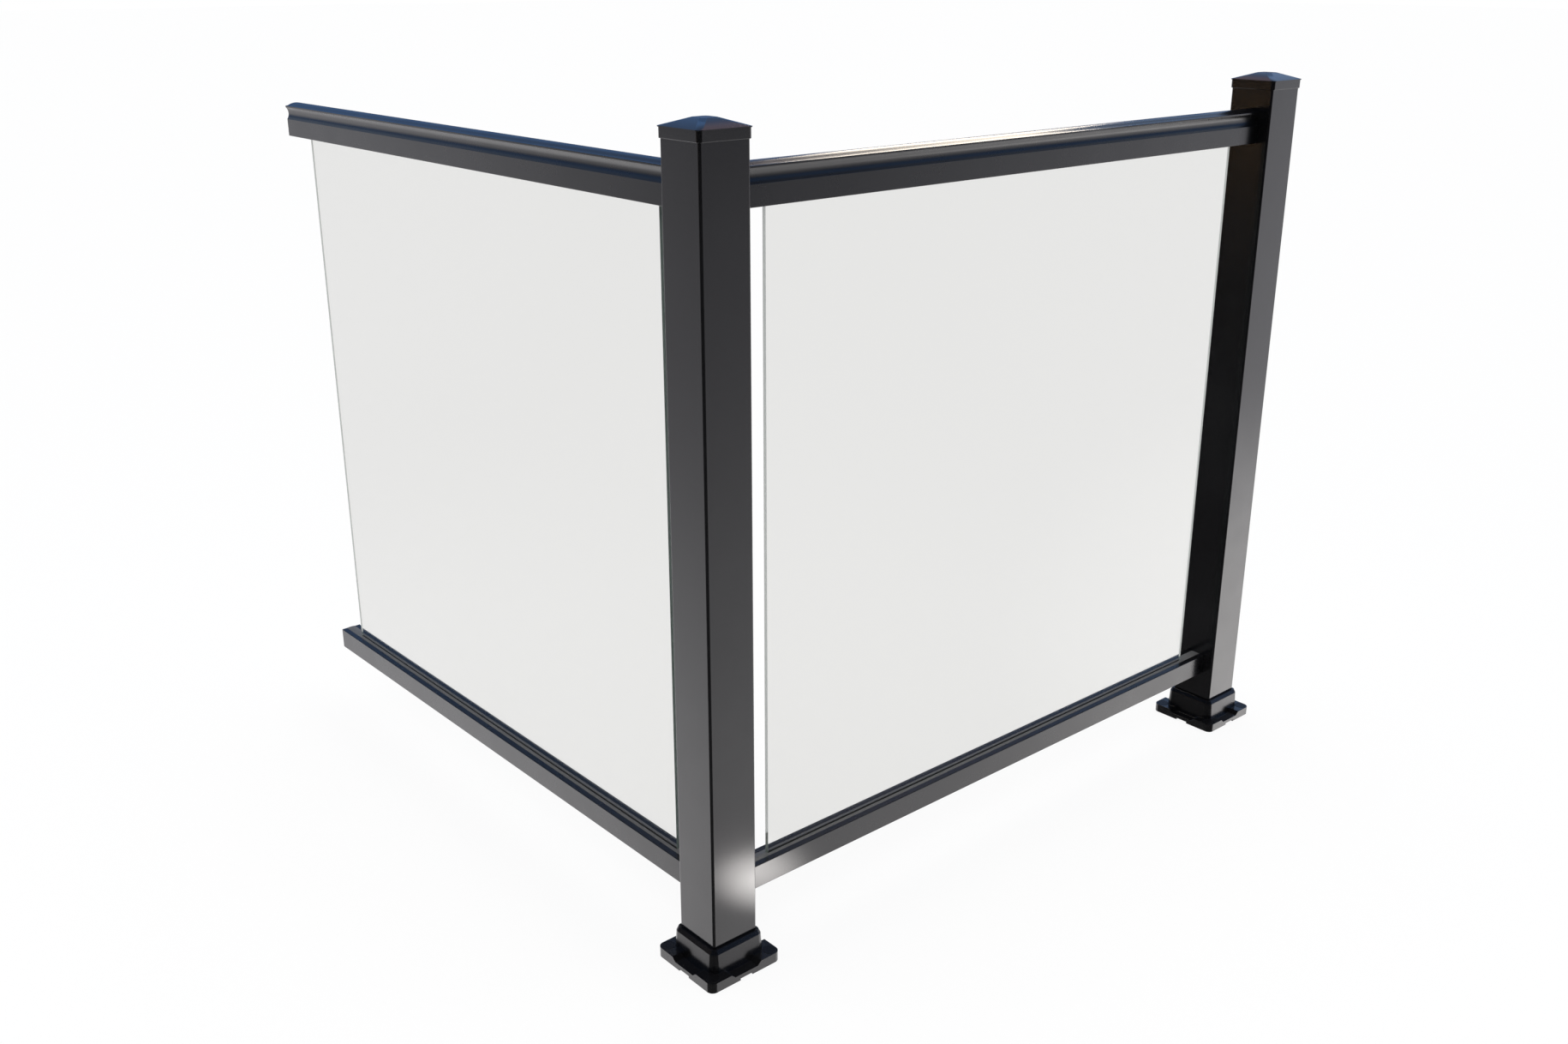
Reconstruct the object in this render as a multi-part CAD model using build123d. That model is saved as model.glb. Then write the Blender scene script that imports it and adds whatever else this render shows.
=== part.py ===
"""Two-bay corner glass railing: square posts, coved top rail, square bottom rail, clear panels.

Millimetres. The corner post stands on the origin, on the deck at z = 0.
The right bay runs along +X to the end post, the left bay runs along +Y and ends free.
"""
from build123d import *
import math
import os

# Bays
bay_length = 905.5
rail_width = 30.0
bottom_rail_underside = 82.0
bottom_rail_height = 30.0
top_rail_underside = 876.1

# Posts
post_size = 63.5
post_wall = 2.5
post_corner_radius = 2.6
post_inner_radius = 1.0
post_reach = 33.8

# Post caps
cap_clearance = 0.15
cap_skirt_wall = 1.6
cap_skirt_drop = 8.5
cap_plate_thickness = 2.5
cap_lip_overhang = 1.2
cap_lip_thickness = 1.0
cap_slope = 19.0
cap_top_width = 21.2
cap_hip_radius = 18.0
cap_shell_wall = 2.2

# Cast post bases
base_floor = 6.0
base_flange_overhang = 14.6
base_flange_thickness = 12.6
base_flange_corner_radius = 8.5
base_trough_width = 33.2
base_trough_depth = 4.8
base_trough_slope_run = 5.6
base_weep_width = 18.0
base_weep_height = 2.5
base_weep_reach = 9.0
base_collar_wall = 5.4
base_collar_shoulder = 36.4
base_collar_draft = 3.8
base_collar_corner_radius = 7.5
base_rim_top = 41.6
base_rim_bevel = 26.6
socket_clearance = 0.25

# Deck screws of a base and the plugs over them; place and diameters are shares of the flange's overhang
screw_place_share = 0.33
screw_hole_share = 0.6
screw_head_share = 0.88
plug_share = 1.05
plug_thickness = 2.5
plug_clearance = 0.15
screw_head_depth = 6.0

# Rail extrusions
rail_wall = 2.0
rail_edge_radius = 0.8
channel_mouth = 14.0
channel_depth = 14.0
top_band_height = 23.3
top_neck_width = 25.2
top_neck_rise = 5.3
top_cove_rise = 10.7
top_lip_width = 31.6
top_lip_thickness = 2.1
top_shoulder_width = 25.0
top_shoulder_rise = 0.4
top_crown_rise = 3.3

# Rail connectors
connector_length = 40.0
connector_clearance = 0.15
connector_screw_diameter = 5.0
connector_screw_spacing = 12.0

# Glazing
glass_thickness = 5.0
glass_gap = 43.0
glass_bite = 8.0
gasket_clearance = 0.1
gasket_shoulder = 2.5
gasket_floor = 3.0
gasket_crown = 0.6
block_length = 80.0
block_inset = 160.0

# Sizes that follow from the ones above
post_half = post_size / 2
rail_half = rail_width / 2
bottom_rail_top = bottom_rail_underside + bottom_rail_height
band_top_height = top_rail_underside + top_band_height
neck_height = band_top_height + top_neck_rise
cove_top_height = neck_height + top_cove_rise
lip_top_height = cove_top_height + top_lip_thickness
shoulder_height = lip_top_height + top_shoulder_rise
crown_top_height = shoulder_height + top_crown_rise
post_top = crown_top_height + post_reach
glass_length = bay_length - 2 * glass_gap
glass_bottom = bottom_rail_top - glass_bite
glass_top = top_rail_underside + glass_bite
gasket_slot_depth = channel_depth - gasket_floor
block_thickness = gasket_slot_depth - glass_bite
socket_size = post_size + 2 * socket_clearance
collar_size = socket_size + 2 * base_collar_wall
base_flange_size = collar_size + 2 * base_flange_overhang
screw_spacing = collar_size + 2 * screw_place_share * base_flange_overhang
screw_hole_diameter = screw_hole_share * base_flange_overhang
screw_head_diameter = screw_head_share * base_flange_overhang
plug_diameter = plug_share * base_flange_overhang
trough_floor = base_flange_thickness - base_trough_depth
collar_foot_spread = (base_collar_shoulder - trough_floor) * math.tan(math.radians(base_collar_draft))
collar_foot_size = collar_size + 2 * collar_foot_spread
collar_foot_radius = base_collar_corner_radius + collar_foot_spread
cap_socket_size = post_size + 2 * cap_clearance
cap_skirt_size = cap_socket_size + 2 * cap_skirt_wall
cap_lip_size = cap_skirt_size + 2 * cap_lip_overhang
cap_skirt_radius = post_corner_radius + cap_clearance + cap_skirt_wall
cap_lip_radius = cap_skirt_radius + cap_lip_overhang

ON_FLOOR = (Align.CENTER, Align.CENTER, Align.MIN)

# A bay's plane looks along its rails: local X is across the rail, local Y is height.
bays = {
    "right": Plane(origin=(post_half, 0, 0), x_dir=(0, 1, 0), z_dir=(1, 0, 0)),
    "left": Plane(origin=(0, post_half, 0), x_dir=(-1, 0, 0), z_dir=(0, 1, 0)),
}
free_ended_bay = "left"
posts = {
    "corner_post": Pos(0, 0, 0),
    "end_post": Pos(post_size + bay_length, 0, 0),
}


def square_block(size, radius, low, high):
    """Upright square prism with rounded corners between two heights."""
    return extrude(Pos(0, 0, low) * RectangleRounded(size, size, radius), high - low)


def tapered_block(size, radius, low, high, taper):
    """Upright square block with rounded corners whose sides lean in by the taper angle."""
    return extrude(Pos(0, 0, low) * RectangleRounded(size, size, radius), high - low, taper=taper)


def pyramid_block(size, low, top_size, high):
    """Square pyramid, cut off flat, between two heights."""
    lean = math.degrees(math.atan2((size - top_size) / 2, high - low))
    return extrude(Pos(0, 0, low) * Rectangle(size, size), high - low, taper=lean)


def mirrored_face(half_edges):
    """Face from the right half of an outline that starts and ends on the local Y axis."""
    half = Curve() + half_edges
    return make_face(half + mirror(half, Plane.YZ))


def post_tube():
    """Square tube that stands on the floor of its base."""
    outside = square_block(post_size, post_corner_radius, base_floor, post_top)
    inside = square_block(post_size - 2 * post_wall, post_inner_radius, base_floor, post_top)
    return outside - inside


def post_cap():
    """Shell cap: skirt over the tube, thin lip, low pyramid with soft hips and a small flat top."""
    lip_low = post_top + cap_plate_thickness
    lip_high = lip_low + cap_lip_thickness
    top_height = lip_high + (cap_lip_size - cap_top_width) / 2 * math.tan(math.radians(cap_slope))
    skirt = square_block(cap_skirt_size, cap_skirt_radius, post_top - cap_skirt_drop, lip_low)
    lip = square_block(cap_lip_size, cap_lip_radius, lip_low, lip_high)
    pyramid = pyramid_block(cap_lip_size, lip_high, cap_top_width, top_height)
    hips = pyramid.edges().group_by(Axis.Z)[1]
    pyramid = fillet(hips, cap_hip_radius)
    socket = square_block(cap_socket_size, post_corner_radius + cap_clearance, post_top - cap_skirt_drop, post_top)
    hollow = pyramid_block(
        post_size - 2 * post_wall, post_top, cap_top_width - cap_shell_wall, top_height - cap_shell_wall
    )
    return skirt + lip + pyramid - socket - hollow


def screw_points():
    """The four deck screw positions of a base."""
    return GridLocations(screw_spacing, screw_spacing, 2, 2)


def flange_trough():
    """Sloped trough right across the top of a flange, along Y."""
    low = base_trough_width / 2
    high = low + base_trough_slope_run
    face = make_face(
        Polyline(
            (-low, trough_floor),
            (low, trough_floor),
            (high, base_flange_thickness),
            (-high, base_flange_thickness),
            close=True,
        )
    )
    return extrude(Plane.XZ * face, base_flange_size / 2, both=True)


def flange_weeps():
    """Two shallow recesses under a flange, at its opposite sides along Y."""
    strip = Box(base_weep_width, base_flange_size, 2 * base_weep_height)
    return strip - Box(base_weep_width, base_flange_size - 2 * base_weep_reach, 2 * base_weep_height)


def screw_seat():
    """Deck screw hole with the counterbores for the screw's head and for the plug over it."""
    seat = Cylinder(screw_hole_diameter / 2, base_flange_thickness, align=ON_FLOOR)
    for diameter, depth in (
        (screw_head_diameter, screw_head_depth),
        (plug_diameter + 2 * plug_clearance, plug_thickness),
    ):
        seat += Pos(0, 0, base_flange_thickness - depth) * Cylinder(diameter / 2, depth, align=ON_FLOOR)
    return seat


def post_base():
    """Casting: square flange with a trough across each side, drafted collar, socket for the tube."""
    base = square_block(base_flange_size, base_flange_corner_radius, 0, base_flange_thickness)
    for turn in (0, 90):
        base -= Rot(0, 0, turn) * flange_trough()
        base -= Rot(0, 0, turn) * flange_weeps()
    base += tapered_block(
        collar_foot_size, collar_foot_radius, trough_floor, base_collar_shoulder, base_collar_draft
    )
    base += tapered_block(
        collar_size, base_collar_corner_radius, base_collar_shoulder, base_rim_top, base_rim_bevel
    )
    base -= square_block(socket_size, post_corner_radius + socket_clearance, base_floor, base_rim_top)
    for point in screw_points():
        base -= point * screw_seat()
    return base


def screw_plugs():
    """Four flush plugs over the deck screws."""
    plug = Pos(0, 0, base_flange_thickness - plug_thickness) * Cylinder(
        plug_diameter / 2, plug_thickness, align=ON_FLOOR
    )
    return Compound(children=[point * plug for point in screw_points()])


def rail_channel(mouth_height, side):
    """Glazing channel of a rail, opening towards side (1 up, -1 down) at the given mouth height."""
    throat = channel_depth - rail_wall
    inner_height = mouth_height - side * (rail_wall + throat / 2)
    pocket = Pos(0, inner_height) * Rectangle(rail_width - 2 * rail_wall, throat)
    mouth = Pos(0, mouth_height - side * rail_wall / 2) * Rectangle(channel_mouth, rail_wall)
    return pocket + mouth


def bottom_chamber(clearance=0.0):
    """Closed chamber under the bottom rail's glazing channel."""
    height = bottom_rail_height - channel_depth - 2 * rail_wall
    centre = bottom_rail_underside + rail_wall + height / 2
    return Pos(0, centre) * Rectangle(rail_width - 2 * rail_wall - 2 * clearance, height - 2 * clearance)


def bottom_rail_section():
    """Square extrusion with an upward glazing channel over a closed chamber."""
    centre = bottom_rail_underside + bottom_rail_height / 2
    outline = Pos(0, centre) * RectangleRounded(rail_width, bottom_rail_height, rail_edge_radius)
    return outline - rail_channel(bottom_rail_top, 1) - bottom_chamber()


def top_chamber(clearance=0.0):
    """Closed chamber under the crown of the top rail."""
    low = top_rail_underside + channel_depth + rail_wall
    high = shoulder_height - rail_wall
    width = top_neck_width - 2 * rail_wall
    return Pos(0, (low + high) / 2) * Rectangle(width - 2 * clearance, high - low - 2 * clearance)


def top_rail_section():
    """Flat band, concave cove, square lip and arched crown over a downward glazing channel."""
    corner = (rail_half, top_rail_underside)
    band_top = (rail_half, band_top_height)
    neck = (top_neck_width / 2, neck_height)
    cove_top = (top_lip_width / 2, cove_top_height)
    lip_top = (top_lip_width / 2, lip_top_height)
    shoulder = (top_shoulder_width / 2, shoulder_height)
    crown_top = (0, crown_top_height)
    crown_radius = (shoulder[0] ** 2 + top_crown_rise**2) / (2 * top_crown_rise)
    outline = mirrored_face(
        [
            Line((0, top_rail_underside), corner),
            Line(corner, band_top),
            ThreePointArc(band_top, neck, cove_top),
            Line(cove_top, lip_top),
            Line(lip_top, shoulder),
            RadiusArc(shoulder, crown_top, -crown_radius),
        ]
    )
    low_corners = outline.vertices().group_by(Axis.Y)[0]
    outline = fillet([v for v in low_corners if abs(v.X) > rail_wall], rail_edge_radius)
    return outline - rail_channel(top_rail_underside, -1) - top_chamber()


def gasket(bay, mouth_height, side):
    """Strip that fills a rail's mouth from end to end, low-crowned, with a slot for the panel's edge."""
    neck = channel_mouth / 2 - gasket_clearance
    body = neck + gasket_shoulder
    ledge = rail_wall + gasket_clearance

    def at(across, rise):
        return (across, mouth_height + side * rise)

    outline = Polyline(
        at(-neck, 0),
        at(-neck, -ledge),
        at(-body, -ledge),
        at(-body, -channel_depth),
        at(body, -channel_depth),
        at(body, -ledge),
        at(neck, -ledge),
        at(neck, 0),
    )
    crown = ThreePointArc(at(neck, 0), at(0, gasket_crown), at(-neck, 0))
    strip = extrude(bay * make_face(outline + crown), bay_length)
    slot = Pos(at(0, (gasket_crown - gasket_slot_depth) / 2)) * Rectangle(
        glass_thickness, gasket_crown + gasket_slot_depth
    )
    return strip - extrude(bay.offset(glass_gap) * slot, glass_length)


def connector(bay, chamber, start, free_end=False):
    """Plug that fills a rail's chamber at one end; at a free end it has two screw holes along the rail."""
    section = chamber
    if free_end:
        for hole in GridLocations(connector_screw_spacing, 0, 2, 1):
            section -= Pos(chamber.center()) * hole * Circle(connector_screw_diameter / 2)
    return extrude(bay.offset(start) * section, connector_length)


def setting_blocks(bay):
    """Two rubber blocks in the gasket's slot that carry the lower edge of a panel."""
    bottom = glass_bottom - block_thickness
    face = Pos(0, bottom + block_thickness / 2) * Rectangle(glass_thickness, block_thickness)
    starts = (glass_gap + block_inset, bay_length - glass_gap - block_inset - block_length)
    return Compound(children=[extrude(bay.offset(start) * face, block_length) for start in starts])


def glass_panel(bay):
    """Clear panel held by its upper and lower edges, short of the posts at both ends."""
    face = Pos(0, (glass_bottom + glass_top) / 2) * Rectangle(glass_thickness, glass_top - glass_bottom)
    return extrude(bay.offset(glass_gap) * face, glass_length)


def bay_parts(name, bay):
    """All pieces of one bay by node name."""
    pieces = {
        f"{name}_top_rail": extrude(bay * top_rail_section(), bay_length),
        f"{name}_top_gasket": gasket(bay, top_rail_underside, -1),
        f"{name}_glass_panel": glass_panel(bay),
        f"{name}_setting_blocks": setting_blocks(bay),
        f"{name}_bottom_gasket": gasket(bay, bottom_rail_top, 1),
        f"{name}_bottom_rail": extrude(bay * bottom_rail_section(), bay_length),
    }
    far_start = bay_length - connector_length
    free_end = name == free_ended_bay
    for rail, chamber in (
        ("top", top_chamber(connector_clearance)),
        ("bottom", bottom_chamber(connector_clearance)),
    ):
        pieces[f"{name}_{rail}_connector_near"] = connector(bay, chamber, 0)
        pieces[f"{name}_{rail}_connector_far"] = connector(bay, chamber, far_start, free_end)
    return pieces


def post_parts(name, place):
    """All pieces of one post by node name."""
    return {
        f"{name}_tube": place * post_tube(),
        f"{name}_cap": place * post_cap(),
        f"{name}_base": place * post_base(),
        f"{name}_screw_plugs": place * screw_plugs(),
    }


os.makedirs("parts", exist_ok=True)
parts = {}
for post_name, place in posts.items():
    parts.update(post_parts(post_name, place))
for bay_name, bay in bays.items():
    parts.update(bay_parts(bay_name, bay))
for node, shape in parts.items():
    export_step(shape, f"parts/{node}.step")
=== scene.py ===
import math

import bmesh
import bpy
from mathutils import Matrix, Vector


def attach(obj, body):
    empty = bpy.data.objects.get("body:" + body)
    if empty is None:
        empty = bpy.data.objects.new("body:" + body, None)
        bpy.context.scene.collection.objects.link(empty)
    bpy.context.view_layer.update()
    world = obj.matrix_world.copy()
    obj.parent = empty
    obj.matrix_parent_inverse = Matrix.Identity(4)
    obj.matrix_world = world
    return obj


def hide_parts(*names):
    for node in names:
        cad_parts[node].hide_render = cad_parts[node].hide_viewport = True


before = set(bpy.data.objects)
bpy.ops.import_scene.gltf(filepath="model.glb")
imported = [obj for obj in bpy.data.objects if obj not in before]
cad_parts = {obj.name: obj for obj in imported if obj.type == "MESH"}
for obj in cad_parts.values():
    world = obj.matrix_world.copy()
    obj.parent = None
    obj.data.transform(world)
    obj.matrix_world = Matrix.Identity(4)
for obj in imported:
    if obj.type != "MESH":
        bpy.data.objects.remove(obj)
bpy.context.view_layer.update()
scene = bpy.context.scene
MM = 0.001

# Camera, fitted to the straight edges of the photograph
CAMERA_AT = (-0.945, -1.2104, 1.1084)
CAMERA_TURN = (69.943, 0.0, -40.861)
CAMERA_LENS = 35.25
CAMERA_SENSOR = 36.0

# Edge rounds of the dressed pieces, in millimetres
TUBE_ROUND = 0.3
CAP_ROUND = 0.3
CAP_FOOT_ROUND = 0.7
BASE_ROUND = 0.5
RAIL_ROUND = 0.3
GASKET_ROUND = 0.25
PLUG_ROUND = 0.5
PANEL_ARRIS = 0.2
CONNECTOR_ROUND = 0.3

# Mesh clean-up
WELD_DISTANCE = 1e-6
FLAT_ANGLE = math.radians(0.3)
SHARP_ANGLE = math.radians(21)
SMOOTH_ANGLE = math.radians(40)

# Powder coat, with heights in metres; the roughness differs by kind of piece
BLACK = (0.0035, 0.0035, 0.004)
COAT_IOR = 1.55
CLEAR_WEIGHT = 0.6
CLEAR_ROUGHNESS_SHARE = 0.7
PEEL_SCALE = 620.0
PEEL_HEIGHT = 0.00001
DRAWN_HEIGHT = 0.00001
GLOSS_SPREAD = 0.03
WORN_EDGE_RADIUS = 0.0009
TUBE_ROUGHNESS = 0.19
RAIL_ROUGHNESS = 0.28
CAP_ROUGHNESS = 0.16
BASE_ROUGHNESS = 0.24

# Panes; they bend light less than real glass does, as the photograph's show no mirror image
GLASS_TINT = (0.805, 0.803, 0.79)
GLASS_IOR = 1.25
EDGE_TONES = ((0.26, 0.33, 0.29), (0.36, 0.42, 0.39))
EDGE_ALPHA = 0.62
EDGE_IOR = 1.5
SHADOW_TINT = (0.93, 0.94, 0.93)
EDGE_SHADOW_TINT = (0.8, 0.86, 0.83)

# Other materials
GASKET_COLOUR = (0.08, 0.08, 0.081)
PAD_COLOUR = (0.03, 0.03, 0.03)
METAL_COLOUR = (0.6, 0.6, 0.61)


# Node helpers

def add_node(tree, kind, **values):
    """New node; values whose names are sockets set their defaults, the others set the node's own settings."""
    node = tree.nodes.new(kind)
    for name, value in values.items():
        socket = name.replace("_", " ")
        found = [s for s in node.inputs if s.name == socket]
        if found:
            found[0].default_value = value
        else:
            setattr(node, name, value)
    return node


def link(tree, source, target):
    tree.links.new(source, target)


def math_node(tree, operation, a, b=None):
    """Math node whose inputs are sockets or numbers; returns its output."""
    node = tree.nodes.new("ShaderNodeMath")
    node.operation = operation
    for socket, value in zip(node.inputs, (a, b)):
        if value is None:
            continue
        if isinstance(value, (int, float)):
            socket.default_value = value
        else:
            tree.links.new(value, socket)
    return node.outputs[0]


def ranged(tree, value, low, high, to_low, to_high, smooth=False):
    """Value mapped from one range to another, clamped."""
    node = tree.nodes.new("ShaderNodeMapRange")
    node.interpolation_type = "SMOOTHSTEP" if smooth else "LINEAR"
    tree.links.new(value, node.inputs["Value"])
    for name, number in (("From Min", low), ("From Max", high), ("To Min", to_low), ("To Max", to_high)):
        node.inputs[name].default_value = number
    return node.outputs[0]


def mixed(tree, factor, a, b):
    """Colour mix of two colours or colour sockets by a factor socket."""
    node = tree.nodes.new("ShaderNodeMix")
    node.data_type = "RGBA"
    tree.links.new(factor, node.inputs[0])
    for socket, value in ((node.inputs[6], a), (node.inputs[7], b)):
        if isinstance(value, tuple):
            socket.default_value = (*value, 1.0)
        else:
            tree.links.new(value, socket)
    return node.outputs[2]


def noise(tree, vector, scale, detail=2.0):
    """Noise texture value at a scale in features per metre."""
    node = tree.nodes.new("ShaderNodeTexNoise")
    node.inputs["Scale"].default_value = scale
    node.inputs["Detail"].default_value = detail
    tree.links.new(vector, node.inputs["Vector"])
    return node.outputs[0]


def stretched(tree, vector, factors):
    """Coordinates stretched per axis, for marks that run along an extrusion."""
    node = tree.nodes.new("ShaderNodeVectorMath")
    node.operation = "MULTIPLY"
    tree.links.new(vector, node.inputs[0])
    node.inputs[1].default_value = factors
    return node.outputs[0]


def bumped(tree, height, distance, strength, normal=None):
    """Bump of a height value; distance in metres."""
    node = tree.nodes.new("ShaderNodeBump")
    node.inputs["Strength"].default_value = strength
    node.inputs["Distance"].default_value = distance
    tree.links.new(height, node.inputs["Height"])
    if normal is not None:
        tree.links.new(normal, node.inputs["Normal"])
    return node.outputs[0]


def new_material(name):
    """Material with its tree, its shader and coordinates in metres."""
    material = bpy.data.materials.new(name)
    material.use_nodes = True
    tree = material.node_tree
    coords = tree.nodes.new("ShaderNodeTexCoord").outputs["Object"]
    return material, tree, tree.nodes["Principled BSDF"], coords


# Materials

def edge_mask(tree, radius):
    """How near a surface point is to a sharp edge, from 0 to 1."""
    rounded = add_node(tree, "ShaderNodeBevel", samples=4, Radius=radius)
    flat = tree.nodes.new("ShaderNodeNewGeometry")
    dot = tree.nodes.new("ShaderNodeVectorMath")
    dot.operation = "DOT_PRODUCT"
    link(tree, rounded.outputs[0], dot.inputs[0])
    link(tree, flat.outputs["Normal"], dot.inputs[1])
    return ranged(tree, dot.outputs["Value"], 0.985, 0.80, 0.0, 1.0)


def powder_coat(name, colour, grain_stretch, roughness):
    """Satin powder coat: orange peel, faint marks along the extrusion, cloudy gloss and rubbed edges."""
    material, tree, shader, coords = new_material(name)
    cloud = noise(tree, coords, 7.0, 4.0)
    lighter = tuple(min(1.0, c * 1.35 + 0.001) for c in colour)
    darker = tuple(c * 0.75 for c in colour)
    tone = mixed(tree, ranged(tree, cloud, 0.3, 0.7, 0.0, 1.0), darker, lighter)
    rub = math_node(tree, "MULTIPLY", edge_mask(tree, WORN_EDGE_RADIUS), noise(tree, coords, 90.0, 3.0))
    worn = tuple(min(1.0, c * 3.0 + 0.01) for c in colour)
    link(tree, mixed(tree, ranged(tree, rub, 0.2, 0.8, 0.0, 0.6), tone, worn), shader.inputs["Base Color"])
    gloss = noise(tree, coords, 26.0, 4.0)
    limits = (roughness - GLOSS_SPREAD, roughness + GLOSS_SPREAD)
    link(tree, ranged(tree, gloss, 0.25, 0.75, *limits), shader.inputs["Roughness"])
    peel = noise(tree, coords, PEEL_SCALE, 2.0)
    drawn = noise(tree, stretched(tree, coords, grain_stretch), 1.0, 3.0)
    relief = bumped(tree, peel, PEEL_HEIGHT, 0.35)
    link(tree, bumped(tree, drawn, DRAWN_HEIGHT, 0.15, relief), shader.inputs["Normal"])
    shader.inputs["IOR"].default_value = COAT_IOR
    shader.inputs["Coat Weight"].default_value = CLEAR_WEIGHT
    shader.inputs["Coat Roughness"].default_value = roughness * CLEAR_ROUGHNESS_SHARE
    return material


def rubber(name, colour, grain_stretch):
    """Extruded rubber: fine lines along its length, dusty speckle and a soft sheen."""
    material, tree, shader, coords = new_material(name)
    speck = noise(tree, coords, 300.0, 3.0)
    dusty = tuple(min(1.0, c * 1.25 + 0.004) for c in colour)
    link(tree, mixed(tree, ranged(tree, speck, 0.45, 0.75, 0.0, 1.0), colour, dusty), shader.inputs["Base Color"])
    lines = noise(tree, stretched(tree, coords, grain_stretch), 1.0, 2.0)
    link(tree, bumped(tree, lines, 0.00002, 0.3), shader.inputs["Normal"])
    link(tree, ranged(tree, speck, 0.3, 0.7, 0.36, 0.46), shader.inputs["Roughness"])
    shader.inputs["Sheen Weight"].default_value = 0.15
    return material


def plug_plastic(name, colour):
    """Moulded plastic: fine spark texture."""
    material, tree, shader, coords = new_material(name)
    grain = noise(tree, coords, 1500.0, 2.0)
    lighter = tuple(c * 1.4 for c in colour)
    link(tree, mixed(tree, noise(tree, coords, 60.0, 3.0), colour, lighter), shader.inputs["Base Color"])
    link(tree, bumped(tree, grain, 0.00001, 0.1), shader.inputs["Normal"])
    link(tree, ranged(tree, grain, 0.3, 0.7, 0.24, 0.32), shader.inputs["Roughness"])
    return material


def mill_metal(name, colour, grain_stretch):
    """Uncoated aluminium with saw and die marks."""
    material, tree, shader, coords = new_material(name)
    marks = noise(tree, stretched(tree, coords, grain_stretch), 1.0, 4.0)
    darker = tuple(c * 0.7 for c in colour)
    link(tree, mixed(tree, marks, darker, colour), shader.inputs["Base Color"])
    link(tree, ranged(tree, marks, 0.2, 0.8, 0.28, 0.5), shader.inputs["Roughness"])
    link(tree, bumped(tree, marks, 0.00005, 0.4), shader.inputs["Normal"])
    shader.inputs["Metallic"].default_value = 1.0
    return material


def shadow_through(tree, shader_output, tint):
    """Lets lamps shine through a pane: shadow rays see a faint tint only."""
    path = tree.nodes.new("ShaderNodeLightPath")
    clear = add_node(tree, "ShaderNodeBsdfTransparent", Color=(*tint, 1.0))
    mix = tree.nodes.new("ShaderNodeMixShader")
    link(tree, path.outputs["Is Shadow Ray"], mix.inputs[0])
    link(tree, shader_output, mix.inputs[1])
    link(tree, clear.outputs[0], mix.inputs[2])
    link(tree, mix.outputs[0], tree.nodes["Material Output"].inputs["Surface"])


def panel_glass(name):
    """Clear pane: faint grey tint and the slightest waviness."""
    material, tree, shader, coords = new_material(name)
    shader.inputs["Base Color"].default_value = (*GLASS_TINT, 1.0)
    shader.inputs["Transmission Weight"].default_value = 1.0
    shader.inputs["IOR"].default_value = GLASS_IOR
    shader.inputs["Roughness"].default_value = 0.0
    link(tree, bumped(tree, noise(tree, coords, 5.0, 1.0), 0.00003, 0.05), shader.inputs["Normal"])
    shadow_through(tree, shader.outputs[0], SHADOW_TINT)
    return material


def panel_edge(name):
    """Ground and polished pane edge: grey green, half clear."""
    material, tree, shader, coords = new_material(name)
    streaks = noise(tree, stretched(tree, coords, (900.0, 900.0, 6.0)), 1.0, 2.0)
    link(tree, mixed(tree, streaks, *EDGE_TONES), shader.inputs["Base Color"])
    link(tree, ranged(tree, streaks, 0.2, 0.8, 0.3, 0.45), shader.inputs["Roughness"])
    shader.inputs["Alpha"].default_value = EDGE_ALPHA
    shader.inputs["IOR"].default_value = EDGE_IOR
    shadow_through(tree, shader.outputs[0], EDGE_SHADOW_TINT)
    return material


# Stretches of the grain for pieces that run along an axis
ALONG = {"x": (2.0, 900.0, 900.0), "y": (900.0, 2.0, 900.0), "z": (900.0, 900.0, 2.0), "none": (90.0, 90.0, 90.0)}
tube_coat = powder_coat("tube_coat", BLACK, ALONG["z"], TUBE_ROUGHNESS)
rail_coat = {axis: powder_coat(f"rail_coat_{axis}", BLACK, ALONG[axis], RAIL_ROUGHNESS) for axis in "xy"}
cap_coat = powder_coat("cap_coat", BLACK, ALONG["none"], CAP_ROUGHNESS)
base_coat = powder_coat("base_coat", BLACK, ALONG["none"], BASE_ROUGHNESS)
gasket_rubber = {axis: rubber(f"gasket_rubber_{axis}", GASKET_COLOUR, ALONG[axis]) for axis in "xy"}
setting_rubber = rubber("setting_rubber", PAD_COLOUR, ALONG["none"])
black_plastic = plug_plastic("plug_plastic", BLACK)
bare_metal = {axis: mill_metal(f"connector_metal_{axis}", METAL_COLOUR, ALONG[axis]) for axis in "xy"}
clear_glass = panel_glass("panel_glass")
glass_edge = panel_edge("panel_edge")


# Pieces

def round_edges(work, edges, round_mm, segments):
    """Rounds edges of a mesh under work."""
    bmesh.ops.bevel(
        work, geom=edges, offset=round_mm * MM, offset_type="OFFSET", segments=segments, profile=0.5,
        affect="EDGES", clamp_overlap=True,
    )


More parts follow.
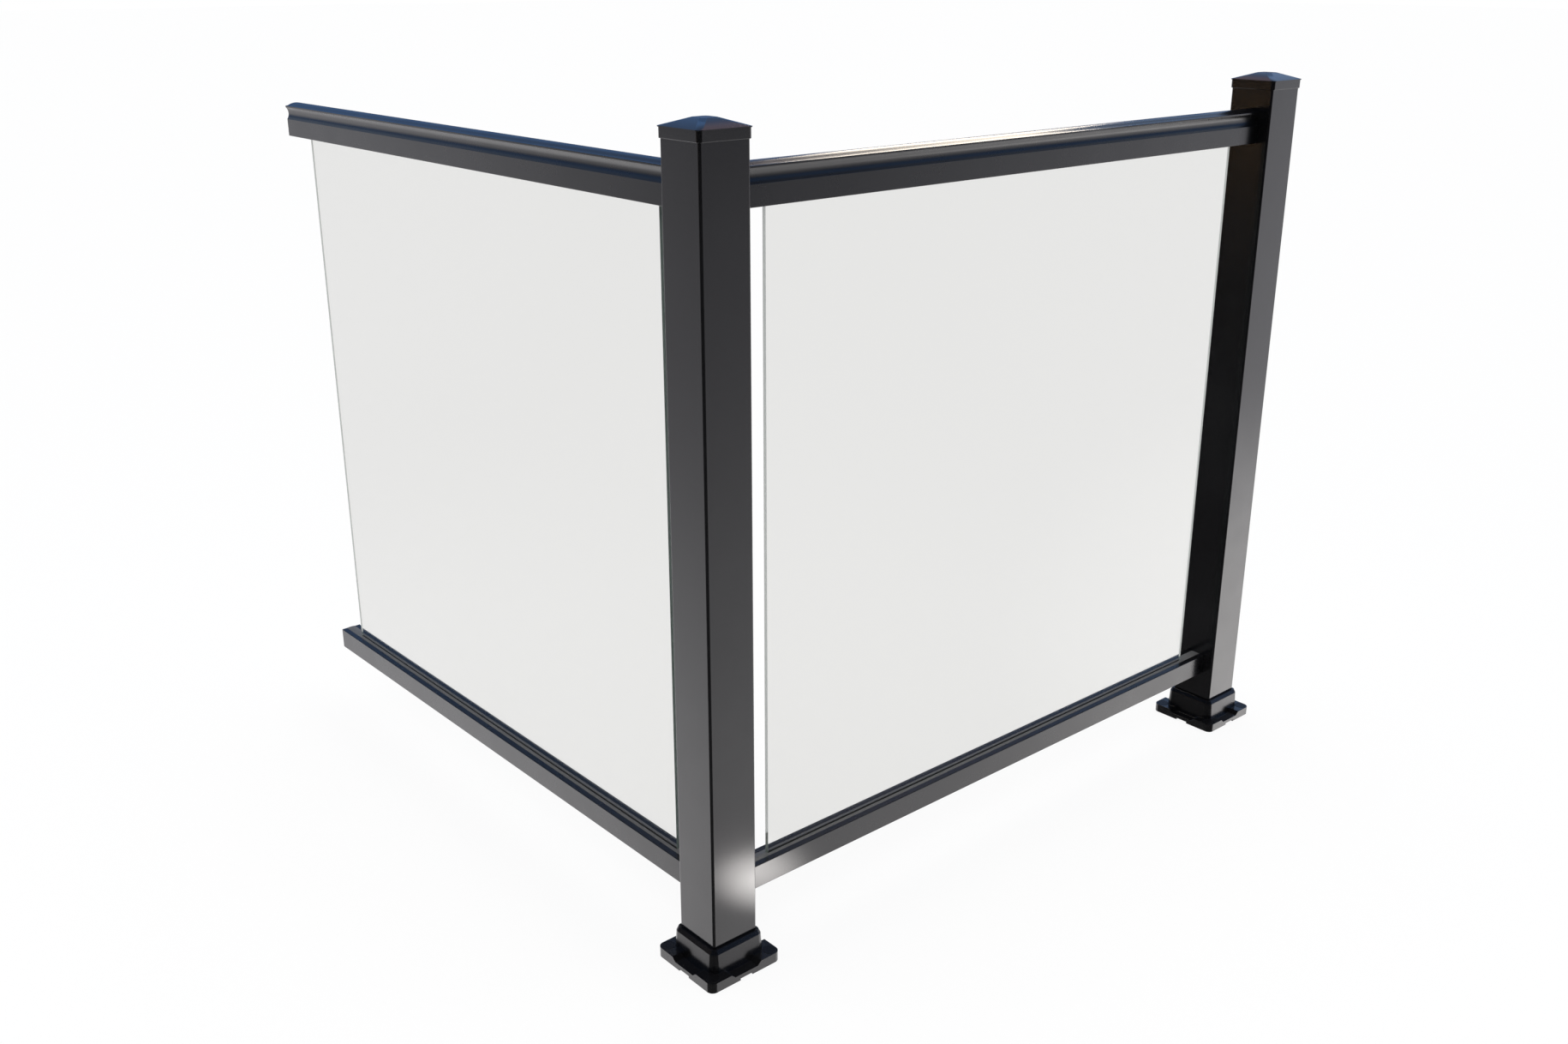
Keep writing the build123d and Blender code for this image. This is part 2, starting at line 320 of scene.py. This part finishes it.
def dressed(node, name, round_mm, material, segments=3, foot_round_mm=None):
    """Piece that stands for a CAD node: the node's faces joined flat, its sharp edges rounded, shaded smooth.

    Its lowest edges get a round of their own where foot_round_mm is given.
    """
    mesh = bpy.data.meshes.new(name)
    work = bmesh.new()
    work.from_mesh(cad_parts[node].data)
    bmesh.ops.remove_doubles(work, verts=work.verts, dist=WELD_DISTANCE)
    bmesh.ops.dissolve_limit(work, angle_limit=FLAT_ANGLE, verts=work.verts, edges=work.edges)
    sharp = [e for e in work.edges if e.is_manifold and e.calc_face_angle() > SHARP_ANGLE]
    if foot_round_mm is not None:
        foot = min(v.co.z for v in work.verts) + WELD_DISTANCE
        low = [e for e in sharp if max(v.co.z for v in e.verts) < foot]
        sharp = [e for e in sharp if e not in low]
        round_edges(work, low, foot_round_mm, segments)
        sharp = [e for e in sharp if e.is_valid]
    round_edges(work, sharp, round_mm, segments)
    bmesh.ops.recalc_face_normals(work, faces=work.faces)
    for face in work.faces:
        face.smooth = True
        face.material_index = 0
    work.to_mesh(mesh)
    work.free()
    mesh.materials.append(material)
    piece = bpy.data.objects.new(name, mesh)
    scene.collection.objects.link(piece)
    mesh.set_sharp_from_angle(angle=SMOOTH_ANGLE)
    weighted = piece.modifiers.new("weighted_normals", "WEIGHTED_NORMAL")
    weighted.keep_sharp = True
    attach(piece, "root")
    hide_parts(node)
    return piece


def pane(node, name, across):
    """Glass panel: clear faces, and edges of their own material. across is the axis through its thickness."""
    piece = dressed(node, name, PANEL_ARRIS, clear_glass, segments=1)
    piece.data.materials.append(glass_edge)
    for face in piece.data.polygons:
        if abs(face.normal[across]) < 0.99:
            face.material_index = 1
    return piece


for post in ("corner_post", "end_post"):
    dressed(f"{post}_tube", f"{post}_extrusion", TUBE_ROUND, tube_coat)
    dressed(
        f"{post}_cap", f"{post}_cap_casting", CAP_ROUND, cap_coat, foot_round_mm=CAP_FOOT_ROUND
    )
    dressed(f"{post}_base", f"{post}_base_casting", BASE_ROUND, base_coat)
    dressed(f"{post}_screw_plugs", f"{post}_plug_discs", PLUG_ROUND, black_plastic)

for bay, axis, across in (("right", "x", 1), ("left", "y", 0)):
    for level in ("top", "bottom"):
        dressed(f"{bay}_{level}_rail", f"{bay}_{level}_rail_extrusion", RAIL_ROUND, rail_coat[axis])
        dressed(
            f"{bay}_{level}_gasket", f"{bay}_{level}_gasket_strip", GASKET_ROUND, gasket_rubber[axis]
        )
        for end in ("near", "far"):
            dressed(
                f"{bay}_{level}_connector_{end}", f"{bay}_{level}_connector_{end}_plug", CONNECTOR_ROUND,
                bare_metal[axis],
            )
    dressed(f"{bay}_setting_blocks", f"{bay}_setting_pads", GASKET_ROUND, setting_rubber)
    pane(f"{bay}_glass_panel", f"{bay}_pane", across)


# Stage

def towards(azimuth, elevation):
    """Unit vector of a direction in degrees; azimuth 0 is along +X, 90 along +Y."""
    flat = math.cos(math.radians(elevation))
    return (
        flat * math.cos(math.radians(azimuth)),
        flat * math.sin(math.radians(azimuth)),
        math.sin(math.radians(elevation)),
    )


def facing(tree, direction, centre, outer, inner):
    """1 within the inner angle of a centre direction, 0 beyond the outer angle, smooth between."""
    dot = tree.nodes.new("ShaderNodeVectorMath")
    dot.operation = "DOT_PRODUCT"
    link(tree, direction, dot.inputs[0])
    dot.inputs[1].default_value = centre
    edges = (math.cos(math.radians(outer)), math.cos(math.radians(inner)))
    return ranged(tree, dot.outputs["Value"], *edges, 0.0, 1.0, smooth=True)


# Surroundings that the coat mirrors. Sky and ground: sine of the elevation, colour
SKY_STOPS = (
    (-1.0, (1.0, 1.0, 1.0)),
    (-0.53, (1.06, 1.04, 1.06)),
    (-0.46, (0.90, 0.89, 0.91)),
    (-0.26, (0.51, 0.50, 0.53)),
    (-0.12, (0.36, 0.355, 0.38)),
    (0.00, (0.22, 0.23, 0.27)),
    (0.10, (0.07, 0.14, 0.30)),
    (0.34, (0.10, 0.20, 0.41)),
    (0.50, (0.09, 0.135, 0.24)),
    (0.58, (0.06, 0.082, 0.135)),
    (0.72, (0.075, 0.08, 0.10)),
    (1.0, (0.35, 0.36, 0.40)),
)
# Soft glows and dimmer spots: azimuth, elevation and spread in degrees, colour added
GLOWS = (
    (102.0, 18.0, 16.0, (0.20, 0.17, 0.08)),
    (-14.0, 26.0, 18.0, (0.27, 0.25, 0.19)),
    (22.0, 20.0, 15.0, (0.14, 0.16, 0.18)),
    (33.0, 26.0, 6.0, (0.10, 0.14, 0.20)),
    (42.0, 33.5, 6.0, (0.22, 0.13, 0.11)),
    (-53.0, -7.0, 11.0, (-0.33, -0.33, -0.335)),
    (-54.0, -28.0, 10.0, (-0.46, -0.46, -0.46)),
    (-18.0, -40.0, 14.0, (-0.62, -0.62, -0.62)),
    (-27.0, -7.0, 18.0, (0.47, 0.47, 0.49)),
    (-31.0, -23.5, 9.5, (1.4, 1.36, 1.33)),
    (112.0, -6.0, 14.0, (0.36, 0.36, 0.37)),
    (116.0, -28.0, 13.0, (0.28, 0.28, 0.29)),
    (102.0, -33.0, 13.0, (-0.82, -0.82, -0.82)),
    (148.0, -1.0, 8.0, (5.0, 2.9, 1.2)),
)
# Pools of light on the floor: x, y, radius, colour; they show only in surfaces nearer than their reach
FLOOR_POOLS = (
    (0.15, -0.153, 0.09, (8.4, 8.1, 7.9)),
)
POOL_REACH = (0.26, 0.34)
# Dark side behind the camera, and the white backdrop behind the railing: azimuths, and their outer and inner edges
DARK_SIDE = -142.0
DARK_SIDE_EDGES = (90.0, 79.0)
DARK_SIDE_SHARE = 0.92
BACKDROP = 49.0
BACKDROP_EDGES = (42.0, 30.0)
BACKDROP_TOP = (0.0, -0.06)

# Floor: half its width, its colour, and the share of plain white that the camera sees on it
FLOOR_REACH = 40.0
FLOOR_COLOUR = (0.85, 0.85, 0.85)
FLOOR_WHITE = 0.9


def looked_at(tree, path):
    """1 for rays from the camera, straight, through panes or mirrored in a pane; 0 for rays that the coat mirrors."""
    straight = math_node(tree, "LESS_THAN", path.outputs["Glossy Depth"], 0.5)
    through = math_node(tree, "MULTIPLY", path.outputs["Is Transmission Ray"], straight)
    clear = math_node(tree, "MULTIPLY", path.outputs["Is Singular Ray"], path.outputs["Is Reflection Ray"])
    in_pane = math_node(tree, "MULTIPLY", clear, math_node(tree, "LESS_THAN", path.outputs["Glossy Depth"], 1.5))
    return math_node(tree, "MAXIMUM", path.outputs["Is Camera Ray"], math_node(tree, "MAXIMUM", through, in_pane))


def world_light():
    """White backdrop to the camera, through and in panes and low behind the railing; else what the coat mirrors."""
    world = bpy.data.worlds.new("studio")
    scene.world = world
    world.use_nodes = True
    tree = world.node_tree
    tree.nodes.clear()
    direction = tree.nodes.new("ShaderNodeTexCoord").outputs["Generated"]
    split = tree.nodes.new("ShaderNodeSeparateXYZ")
    link(tree, direction, split.inputs[0])
    ramp = tree.nodes.new("ShaderNodeValToRGB")
    link(tree, ranged(tree, split.outputs["Z"], -1.0, 1.0, 0.0, 1.0), ramp.inputs[0])
    elements = ramp.color_ramp.elements
    while len(elements) < len(SKY_STOPS):
        elements.new(0.5)
    for element, (height, colour) in zip(elements, SKY_STOPS):
        element.position = (height + 1) / 2
        element.color = (*colour, 1.0)
    total = ramp.outputs[0]
    for azimuth, elevation, spread, colour in GLOWS:
        glow = tree.nodes.new("ShaderNodeMix")
        glow.data_type = "RGBA"
        glow.blend_type = "ADD"
        link(tree, facing(tree, direction, towards(azimuth, elevation), spread, 0.0), glow.inputs[0])
        link(tree, total, glow.inputs[6])
        glow.inputs[7].default_value = (*colour, 1.0)
        total = glow.outputs[2]
    level = tree.nodes.new("ShaderNodeVectorMath")
    level.operation = "NORMALIZE"
    link(tree, stretched(tree, direction, (1.0, 1.0, 0.0)), level.inputs[0])
    shade = facing(tree, level.outputs[0], towards(DARK_SIDE, 0.0), *DARK_SIDE_EDGES)
    total = mixed(tree, math_node(tree, "MULTIPLY", shade, DARK_SIDE_SHARE), total, (0.0, 0.0, 0.0))
    path = tree.nodes.new("ShaderNodeLightPath")
    behind = facing(tree, level.outputs[0], towards(BACKDROP, 0.0), *BACKDROP_EDGES)
    low = ranged(tree, split.outputs["Z"], *BACKDROP_TOP, 0.0, 1.0)
    mirrored = math_node(tree, "MULTIPLY", path.outputs["Is Glossy Ray"], math_node(tree, "MULTIPLY", behind, low))
    seen = math_node(tree, "MAXIMUM", looked_at(tree, path), mirrored)
    background = tree.nodes.new("ShaderNodeBackground")
    link(tree, mixed(tree, seen, total, (1.0, 1.0, 1.0)), background.inputs["Color"])
    output = tree.nodes.new("ShaderNodeOutputWorld")
    link(tree, background.outputs[0], output.inputs["Surface"])


def pale_floor():
    """Wide pale floor: white to the camera, through panes and in them, with a faint shadow.

    The coat mirrors the world's ground in its place, and the pools of light on it.
    """
    mesh = bpy.data.meshes.new("floor")
    corners = [(x * FLOOR_REACH, y * FLOOR_REACH, 0) for x, y in ((-1, -1), (1, -1), (1, 1), (-1, 1))]
    mesh.from_pydata(corners, [], [(0, 1, 2, 3)])
    floor = bpy.data.objects.new("floor", mesh)
    scene.collection.objects.link(floor)
    material, tree, shader, coords = new_material("pale_floor")
    shader.inputs["Base Color"].default_value = (*FLOOR_COLOUR, 1.0)
    shader.inputs["Roughness"].default_value = 0.9
    shader.inputs["Specular IOR Level"].default_value = 0.0
    path = tree.nodes.new("ShaderNodeLightPath")
    white = add_node(tree, "ShaderNodeEmission", Color=(1.0, 1.0, 1.0, 1.0), Strength=1.0)
    mix = tree.nodes.new("ShaderNodeMixShader")
    link(tree, math_node(tree, "MULTIPLY", looked_at(tree, path), FLOOR_WHITE), mix.inputs[0])
    link(tree, shader.outputs[0], mix.inputs[1])
    link(tree, white.outputs[0], mix.inputs[2])
    mirrored = tree.nodes.new("ShaderNodeBsdfTransparent").outputs[0]
    near = ranged(tree, path.outputs["Ray Length"], *POOL_REACH, 1.0, 0.0, smooth=True)
    for x, y, radius, colour in FLOOR_POOLS:
        away = tree.nodes.new("ShaderNodeVectorMath")
        away.operation = "DISTANCE"
        link(tree, coords, away.inputs[0])
        away.inputs[1].default_value = (x, y, 0.0)
        pool = add_node(tree, "ShaderNodeEmission", Color=(*colour, 1.0))
        spot = ranged(tree, away.outputs["Value"], radius, 0.0, 0.0, 1.0, smooth=True)
        link(tree, math_node(tree, "MULTIPLY", spot, near), pool.inputs["Strength"])
        both = tree.nodes.new("ShaderNodeAddShader")
        link(tree, mirrored, both.inputs[0])
        link(tree, pool.outputs[0], both.inputs[1])
        mirrored = both.outputs[0]
    past = tree.nodes.new("ShaderNodeMixShader")
    coated = math_node(tree, "GREATER_THAN", path.outputs["Glossy Depth"], 0.5)
    unseen = math_node(tree, "SUBTRACT", 1.0, looked_at(tree, path))
    link(tree, math_node(tree, "MULTIPLY", coated, unseen), past.inputs[0])
    link(tree, mix.outputs[0], past.inputs[1])
    link(tree, mirrored, past.inputs[2])
    link(tree, past.outputs[0], tree.nodes["Material Output"].inputs["Surface"])
    mesh.materials.append(material)


def lamp(name, kind, at, aim, power, mirrored=True, **settings):
    """Lamp that looks from one point at another; the coat shows it only where mirrored is true."""
    data = bpy.data.lights.new(name, kind)
    data.energy = power
    for setting, value in settings.items():
        setattr(data, setting, value)
    holder = bpy.data.objects.new(name, data)
    holder.location = at
    holder.rotation_euler = (Vector(aim) - Vector(at)).to_track_quat("-Z", "Y").to_euler()
    holder.visible_camera = False
    holder.visible_transmission = False
    holder.visible_glossy = mirrored
    scene.collection.objects.link(holder)


def photo_camera():
    """Camera at the photograph's place."""
    data = bpy.data.cameras.new("camera")
    data.sensor_fit = "HORIZONTAL"
    data.sensor_width = CAMERA_SENSOR
    data.lens = CAMERA_LENS
    camera = bpy.data.objects.new("camera", data)
    camera.location = CAMERA_AT
    camera.rotation_euler = [math.radians(a) for a in CAMERA_TURN]
    scene.collection.objects.link(camera)
    scene.camera = camera


world_light()
pale_floor()
lamp("overhead", "SUN", (0.3, 0.3, 4.0), (0.3, 0.3, 0.0), 3.0, mirrored=False, angle=math.radians(100))
lamp("key", "AREA", (-1.8, -2.2, 2.8), (0.4, 0.3, 0.4), 30.0, mirrored=False, size=2.0)
lamp(
    "rim", "AREA", (1.05, 0.57, 1.32), (0.31, 0.0, 0.92), 2.3, shape="RECTANGLE", size=0.48, size_y=0.34,
    color=(1.0, 0.88, 0.72),
)
photo_camera()
scene.view_settings.view_transform = "Standard"

bpy.context.view_layer.update()
